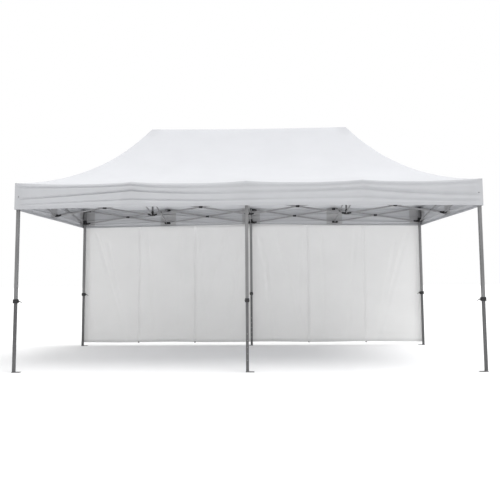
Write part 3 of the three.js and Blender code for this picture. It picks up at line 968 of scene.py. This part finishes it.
def slope_piece(name, body, low_end, high_end, on_end, sign):
    """A strip of roof from the eave to the ridge, between two places along the eave.

    on_end says that the slope faces along X. Strips beyond a peak fan in to it.
    """
    fans = on_end or max(abs(low_end), abs(high_end)) > PEAK_X + 0.001
    t = np.linspace(0, PEAK_STOP if fans else 1, ROOF_ROWS)[:, None]
    along = np.linspace(low_end, high_end, ROOF_COLUMNS)[None, :]
    if on_end:
        x = sign * (PEAK_X + (EAVE_X - PEAK_X) * (1 - t)) + 0 * along
        y = along * (1 - t)
    else:
        beyond = np.maximum(np.abs(along) - PEAK_X, 0)
        x = np.sign(along) * (np.minimum(np.abs(along), PEAK_X) + beyond * (1 - t))
        y = sign * EAVE_Y * (1 - t) + 0 * along
    points = np.stack([x, y, roof_height(x, y)], -1)
    if (sign > 0) == (not on_end):
        points = points[:, ::-1]
    up = lengths_along(points)
    uv = np.stack([along * (1 - t if fans else 1 + 0 * t), up], -1)
    piece = grid_mesh(name, points, uv, ROOF_CLOTH)
    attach(piece, body)
    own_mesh(piece)
    declare_sheet(piece, points)


def along_side(truss, leg):
    """A leg's place along the side that a truss runs on, whether that side is an end, and its sign."""
    on_end = truss in ("left", "right")
    at, across = (LEGS[leg].y, LEGS[leg].x) if on_end else (LEGS[leg].x, LEGS[leg].y)
    return at, on_end, math.copysign(1, across)


def cloth_edge(at, on_end):
    """Where the cloth of a leg's share starts: at the leg, or at the corner of the eave outside it."""
    return math.copysign(EAVE_Y if on_end else EAVE_X, at) if abs(at) > 0.1 else 0.0


def side_halves():
    """Each half bay on the four sides: its truss and leg, where leg and middle are, on_end and sign."""
    for truss, legs in TRUSSES.items():
        if truss == "centre":
            continue
        for leg, other in (legs, legs[::-1]):
            at, on_end, sign = along_side(truss, leg)
            middle = (at + along_side(truss, other)[0]) / 2
            yield truss, leg, at, middle, on_end, sign


def build_roof():
    """Two strips for each half bay: one turns with the leg's high bar, and the other with its low bar."""
    strip = PIN_OUT + (HALF_BAY - PIN_OUT) / 2
    for truss, leg, at, middle, on_end, sign in side_halves():
        quarter = at + math.copysign(strip, middle - at)
        for level, a, b in (("high", cloth_edge(at, on_end), quarter), ("low", quarter, middle)):
            body = f"bar_{truss}_{leg}_{level}"
            slope_piece(f"roof_{truss}_{leg}_{level}", body, min(a, b), max(a, b), on_end, sign)


def peak_patches():
    """A round cloth patch over each peak, lying just above the roof."""
    angles = np.linspace(0, 2 * math.pi, 49)[None, :]
    radii = np.linspace(0.004, 0.115, 14)[:, None]
    for side, sign in SIDE_SIGNS.items():
        x = sign * PEAK_X + radii * np.cos(angles)
        y = radii * np.sin(angles)
        points = np.stack([x, y, roof_height(x, y) + 0.0012], -1)
        uv = np.stack([x, y], -1)
        piece = grid_mesh(f"peak_patch_{side}", points, uv, ROOF_CLOTH)
        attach(piece, f"peak_pole_{side}")


VALANCE_COLUMNS = 110
HEM_SHARE = 1 - HEM_HEIGHT / (EAVE_Z - VALANCE_Z)
# Creases pressed in by packing: depth, width and height shares at a centre leg, a bay middle and a corner.
VALANCE_CREASES = (
    (0.0170, 0.055, (0.21, 0.12, 0.15)),
    (0.0220, 0.050, (0.47, 0.34, 0.61)),
    (0.0150, 0.040, (0.75, 0.71, 0.82)),
)
# The front hem is this much higher at its middle than at its ends.
FRONT_HEM_ARCH = 0.026


def valance_out(s, v, on_end):
    """How far the hanging valance stands out. v is 0 at the eave and 1 at the hem."""
    place = np.abs(s) / HALF_BAY + (1 if on_end else 0)
    corner = (EAVE_Y if on_end else EAVE_X) - np.abs(s)
    out = 0.004 * v + 0.0016 * ripple(s, v * 0.5, 0.11)
    for depth, width, heights in VALANCE_CREASES:
        line = np.interp(place, (0, 1, 2), heights) + 0.018 * np.sin(2.3 * s + 60 * width)
        spread = width * (1.1 + 0.45 * np.sin(0.8 * s + 0.2))
        strength = depth * (0.85 + 0.25 * np.sin(1.9 * s + 90 * width))
        out = out - strength * (np.exp(-((v - line) / spread) ** 2) - 0.3)
    stitched = 0.0007 * np.exp(-((v - HEM_SHARE) / 0.008) ** 2)
    free = np.clip(v / 0.07, 0, 1) * (1 - 0.8 * np.clip((v - 0.88) / 0.12, 0, 1))
    window = np.clip(corner / 0.10, 0, 1) ** 1.5
    return out * free * window - stitched


def side_points(s, v, out, up, on_end, sign):
    """Points of the valance on one side. out and up move each row off the cloth's outer face."""
    corner = (EAVE_Y if on_end else EAVE_X) - np.abs(s)
    top = EAVE_Z + eave_rise(s)
    arch = FRONT_HEM_ARCH * (1 - (s / EAVE_X) ** 2) if sign < 0 and not on_end else 0
    bottom = VALANCE_Z + arch + 0.0014 * np.sin(s * 3.1 + 0.5)
    z = top * (1 - v) + bottom * v + up
    stand = valance_out(s, v, on_end) + out * np.clip(corner / 0.02, 0, 1)
    across = sign * ((EAVE_X if on_end else EAVE_Y) + stand)
    along = s + 0 * z
    first, second = (across, along) if on_end else (along, across)
    points = np.stack([first, second, z], -1)
    uv = np.stack([along, z - bottom], -1)
    return points, uv


def outside_first(points, uv, on_end, sign):
    """Puts the columns in the order that turns the faces outwards."""
    return (points[:, ::-1], uv[:, ::-1]) if (sign > 0) == (not on_end) else (points, uv)


def hang_on_leg(piece, leg, on_end, points):
    """The piece goes with its leg, with a mesh of its own."""
    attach(piece, f"leg_outer_{leg}")
    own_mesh(piece)
    declare_sheet(piece, points)


def valance_piece(name, leg, low_end, high_end, on_end, sign):
    """A length of valance: lapped over the roof's edge, creased, with its hem turned up inside."""
    columns = max(12, int(VALANCE_COLUMNS * (high_end - low_end) / HALF_BAY))
    s = np.linspace(low_end, high_end, columns)[None, :]
    # Rows of (place down the face, outwards, up).
    lap = [(0, -0.016, 0.0052), (0, -0.010, 0.0045), (0, -0.005, 0.0036), (0, -0.0018, 0.0018)]
    face = np.concatenate([np.linspace(0.012, HEM_SHARE - 0.02, 52), HEM_SHARE + 0.004 * np.arange(-3, 4),
                           np.linspace(HEM_SHARE + 0.02, 1, 7)])
    lip = [(1, -0.0012, -0.0006), (1, -0.0024, 0.0008)]
    lip += [(HEM_SHARE, -0.0024, 0), (HEM_SHARE, -0.0008, 0.0012)]
    rows = np.array(lap + [(v, 0, 0) for v in face] + lip)
    v, out, up = (rows[:, i:i + 1] for i in range(3))
    points, uv = outside_first(*side_points(s, v, out, up, on_end, sign), on_end, sign)
    piece = grid_mesh(name, points, uv, SHADED_VALANCE_CLOTH)
    hang_on_leg(piece, leg, on_end, points)


def valance_patch(name, leg, low_end, high_end, on_end, sign):
    """A reinforcement sewn inside the valance, behind a bracket of the frame."""
    s = np.linspace(low_end, high_end, 16)[None, :]
    v = np.linspace(0.03, HEM_SHARE - 0.01, 40)[:, None]
    points, uv = outside_first(*side_points(s, v, -0.0014, 0, on_end, sign), on_end, sign)
    piece = grid_mesh(name, points, uv, SHADED_PATCH_CLOTH)
    hang_on_leg(piece, leg, on_end, points)


def corner_eyelet(leg):
    """A metal eyelet near the end of the front or rear valance, for a guy line."""
    foot = LEGS[leg]
    sign_x, sign_y = math.copysign(1, foot.x), math.copysign(1, foot.y)
    s = np.array([[sign_x * (EAVE_X - 0.052)]])
    share = np.array([[0.52]])
    at = side_points(s, share, 0.0006, 0, False, sign_y)[0][0, 0]
    solid = Solid()
    place = facing(at, (0, sign_y, 0))
    solid.ring(0.0085, 0.0022, METAL, place, sides=28)
    solid.lathe([(0.0070, -0.0012), (0.0070, 0.0004)], PLASTIC, place, sides=20)
    eyelet = new_object(f"eyelet_{leg}", solid.mesh("eyelet"), [ZINC, NYLON])
    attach(eyelet, f"leg_outer_{leg}")


def build_valance():
    for truss, leg, at, middle, on_end, sign in side_halves():
        edge = cloth_edge(at, on_end)
        way = math.copysign(1, middle - at)
        at_leg = sorted((edge + way * 0.004, at + way * 0.155))
        at_middle = sorted((middle, middle - way * 0.135))
        valance_piece(f"valance_{truss}_{leg}", leg, *sorted((edge, middle)), on_end, sign)
        valance_patch(f"leg_patch_{truss}_{leg}", leg, *at_leg, on_end, sign)
        valance_patch(f"middle_patch_{truss}_{leg}", leg, *at_middle, on_end, sign)
    for leg in ("fl", "fr", "rl", "rr"):
        corner_eyelet(leg)


WALL_PANELS = 3
WALL_HEM = 0.040
WALL_RISE = 0.050
TAPE_HALF_WIDE = 0.021
# Drag folds: start along the wall and up it as shares, lean outwards per metre down, width and depth.
WALL_FOLDS = (
    (0.015, 0.97, 0.045, 0.032, 0.018),
    (0.050, 0.93, 0.160, 0.034, 0.015),
    (0.085, 0.75, 0.060, 0.026, 0.015),
    (0.140, 0.98, 0.280, 0.030, 0.013),
    (0.300, 0.96, -0.050, 0.026, 0.011),
    (0.420, 0.98, 0.020, 0.022, 0.010),
    (0.620, 0.97, -0.090, 0.028, 0.010),
    (0.860, 0.90, -0.220, 0.034, 0.013),
    (0.930, 0.97, -0.300, 0.032, 0.015),
    (0.985, 0.96, -0.060, 0.030, 0.014),
)


def wall_out(x, z, low, high):
    """How far a hanging wall stands out from its plane: drag folds that start at its fixings."""
    share = np.abs(x) / max(high.x, -low.x)
    wide, tall = high.x - low.x, high.z - low.z
    up = (z - low.z) / tall
    out = 0.0030 * ripple(x, z, 0.19) * np.clip(1.15 - up, 0, 1) ** 0.5
    for start, top, lean, width, depth in WALL_FOLDS:
        below = np.clip((top - up) * tall, 0, None)
        line = start + lean * below / wide
        fade = np.clip(below / 0.12, 0, 1) * np.exp(-below / 1.1)
        out = out + depth * np.exp(-((share - line) * wide / width) ** 2) * fade
    sag = 0.0045 * np.exp(-((up - 0.055) / 0.02) ** 2) * np.sin(3.3 * x + 0.4)
    return out * np.clip((1 - up) / 0.03, 0, 1) + sag


def wall_grid(name, x, rows, low, high, material):
    """Part of a wall as a grid: rows are (height share, outwards, up)."""
    up, out, lift = (rows[:, i:i + 1] for i in range(3))
    middle_rise = WALL_RISE * (1 - np.abs(x) / max(high.x, -low.x))
    hem_wave = 0.004 * np.sin(3.7 * x + 0.6) * (1 - up)
    z = low.z + up * (high.z - low.z + middle_rise) + lift + hem_wave
    plane = low.y - 0.0005
    y = plane + wall_out(x, z, low, high) + out
    points = np.stack([x + 0 * z, y, z], -1)
    uv = np.stack([x + 0 * z, z - low.z], -1)
    points, uv = outside_first(points, uv, False, 1)
    piece = grid_mesh(name, points, uv, material)
    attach(piece, "leg_outer_rc")
    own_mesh(piece)
    return piece, points


def wall_tab(name, x, low):
    """A short webbing loop under a wall's seam, for a peg."""
    half_wide, tall, steps = 0.011, 0.010, 24
    section = ((-half_wide, 0.0022), (half_wide, 0.0022), (half_wide, 0.0034), (-half_wide, 0.0034))
    loop = []
    for step in range(steps):
        angle = 2 * math.pi * step / steps
        out, up = math.cos(angle), math.sin(angle)
        loop.append([(x + along, low.y + 0.0012 + thick * out, low.z + 0.002 + (tall + thick) * up)
                     for along, thick in section])
    solid = Solid()
    solid.loft(loop, METAL, closed=True)
    tab = new_object(name, solid.mesh("tab"), [WEBBING])
    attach(tab, "leg_outer_rc")
    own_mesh(tab)


def build_wall(side):
    """A rear wall of three sewn widths, with taped seams, a hem and a tab under each seam."""
    low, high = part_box(f"wall_rear_{side}")
    seams = [low.x + (high.x - low.x) * i / WALL_PANELS for i in range(1, WALL_PANELS)]
    near = [seam + step for seam in seams for step in (-0.024, -0.021, -0.012, 0, 0.012, 0.021, 0.024)]
    x = np.array(sorted([*np.linspace(low.x, high.x, 210), *near]))[None, :]
    tall = high.z - low.z
    turned = [(WALL_HEM / tall, -0.0016, 0), (0.001, -0.0016, 0), (0, -0.0008, -0.0004)]
    face = [(share, 0, 0) for share in np.linspace(0.001, 1, 170)]
    piece, points = wall_grid(f"rear_wall_{side}", x, np.array(turned + face), low, high, WALL_CLOTH)
    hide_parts(f"wall_rear_{side}")
    declare_sheet(piece, points)
    rows = np.array([(share, -0.0012, 0) for share in np.linspace(0.022, 0.995, 150)])
    for number, seam in enumerate(seams, 1):
        tape_x = np.linspace(seam - TAPE_HALF_WIDE, seam + TAPE_HALF_WIDE, 8)[None, :]
        tape, taped = wall_grid(f"seam_tape_{side}_{number}", tape_x, rows, low, high, WALL_TAPE_PAINTED_LIGHT)
        declare_sheet(tape, taped)
        wall_tab(f"wall_tab_{side}_{number}", seam, low)


# ---- scene ----

CAMERA_PLACE = (0.1962, -9.0414, 1.1697)
CAMERA_YAW, CAMERA_PITCH, CAMERA_ROLL = -0.0269, 0.0923, -0.006


def build_camera():
    """The photograph's viewpoint: eye height, a little right of the middle, looking slightly up."""
    lens = bpy.data.cameras.new("camera")
    lens.sensor_width = 36.0
    lens.lens = 43.75
    lens.shift_x = 0.008
    lens.shift_y = -0.06
    lens.clip_end = 200.0
    lens.dof.use_dof = False
    camera = in_scene("camera", lens)
    level = Vector((math.cos(CAMERA_YAW), -math.sin(CAMERA_YAW), 0))
    ahead = Vector((math.sin(CAMERA_YAW), math.cos(CAMERA_YAW), 0))
    forward = ahead * math.cos(CAMERA_PITCH) + Vector((0, 0, math.sin(CAMERA_PITCH)))
    over = level.cross(forward)
    right = level * math.cos(CAMERA_ROLL) + over * math.sin(CAMERA_ROLL)
    up = over * math.cos(CAMERA_ROLL) - level * math.sin(CAMERA_ROLL)
    turn = Matrix((right, up, -forward)).transposed().to_4x4()
    camera.matrix_world = Matrix.Translation(CAMERA_PLACE) @ turn
    bpy.context.scene.camera = camera


def build_floor():
    m = Nodes("floor", 0.9)
    m.colour(m.ramp(m.noise(m.place(), 0.6, 4.0), [(0.3, (0.92, 0.92, 0.922)), (0.7, (0.95, 0.95, 0.952))]))
    floor = Solid()
    floor.add([(-60, -60, 0), (60, -60, 0), (60, 60, 0), (-60, 60, 0)], [(0, 1, 2, 3)], METAL)
    new_object("floor", floor.mesh("floor"), [m.material])


def build_world():
    """White surroundings. The light from them is dimmer at the horizon than overhead."""
    world = bpy.data.worlds.new("studio")
    world.use_nodes = True
    nodes, link = world.node_tree.nodes, world.node_tree.links.new
    seen, lit = nodes["Background"], nodes.new("ShaderNodeBackground")
    for background in (seen, lit):
        background.inputs["Color"].default_value = (1, 1, 1, 1)
        background.inputs["Strength"].default_value = 1.0
    way, parts = nodes.new("ShaderNodeTexCoord"), nodes.new("ShaderNodeSeparateXYZ")
    link(way.outputs["Generated"], parts.inputs[0])
    strength = nodes.new("ShaderNodeMapRange")
    strength.inputs["To Min"].default_value = 0.74
    strength.inputs["To Max"].default_value = 1.0
    link(parts.outputs["Z"], strength.inputs["Value"])
    link(strength.outputs["Result"], lit.inputs["Strength"])
    rays, either = nodes.new("ShaderNodeLightPath"), nodes.new("ShaderNodeMixShader")
    link(rays.outputs["Is Camera Ray"], either.inputs["Fac"])
    link(lit.outputs["Background"], either.inputs[1])
    link(seen.outputs["Background"], either.inputs[2])
    link(either.outputs["Shader"], nodes["World Output"].inputs["Surface"])
    bpy.context.scene.world = world


def build_studio():
    """Pale floor, white surroundings and one large soft light from above and to the right."""
    build_floor()
    build_world()
    sun = bpy.data.lights.new("soft_light", "SUN")
    sun.energy = 1.9
    sun.angle = math.radians(50)
    lamp = in_scene("soft_light", sun)
    lamp.rotation_euler = Vector((0.40, -0.16, 0.90)).to_track_quat("Z", "Y").to_euler()
    bpy.context.scene.view_settings.view_transform = "Standard"


build_camera()
build_studio()
build_legs()
build_cad_bars()
build_extra_bars()
build_hubs()
build_roof()
peak_patches()
build_valance()
for wall_side in ("left", "right"):
    build_wall(wall_side)
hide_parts("roof")
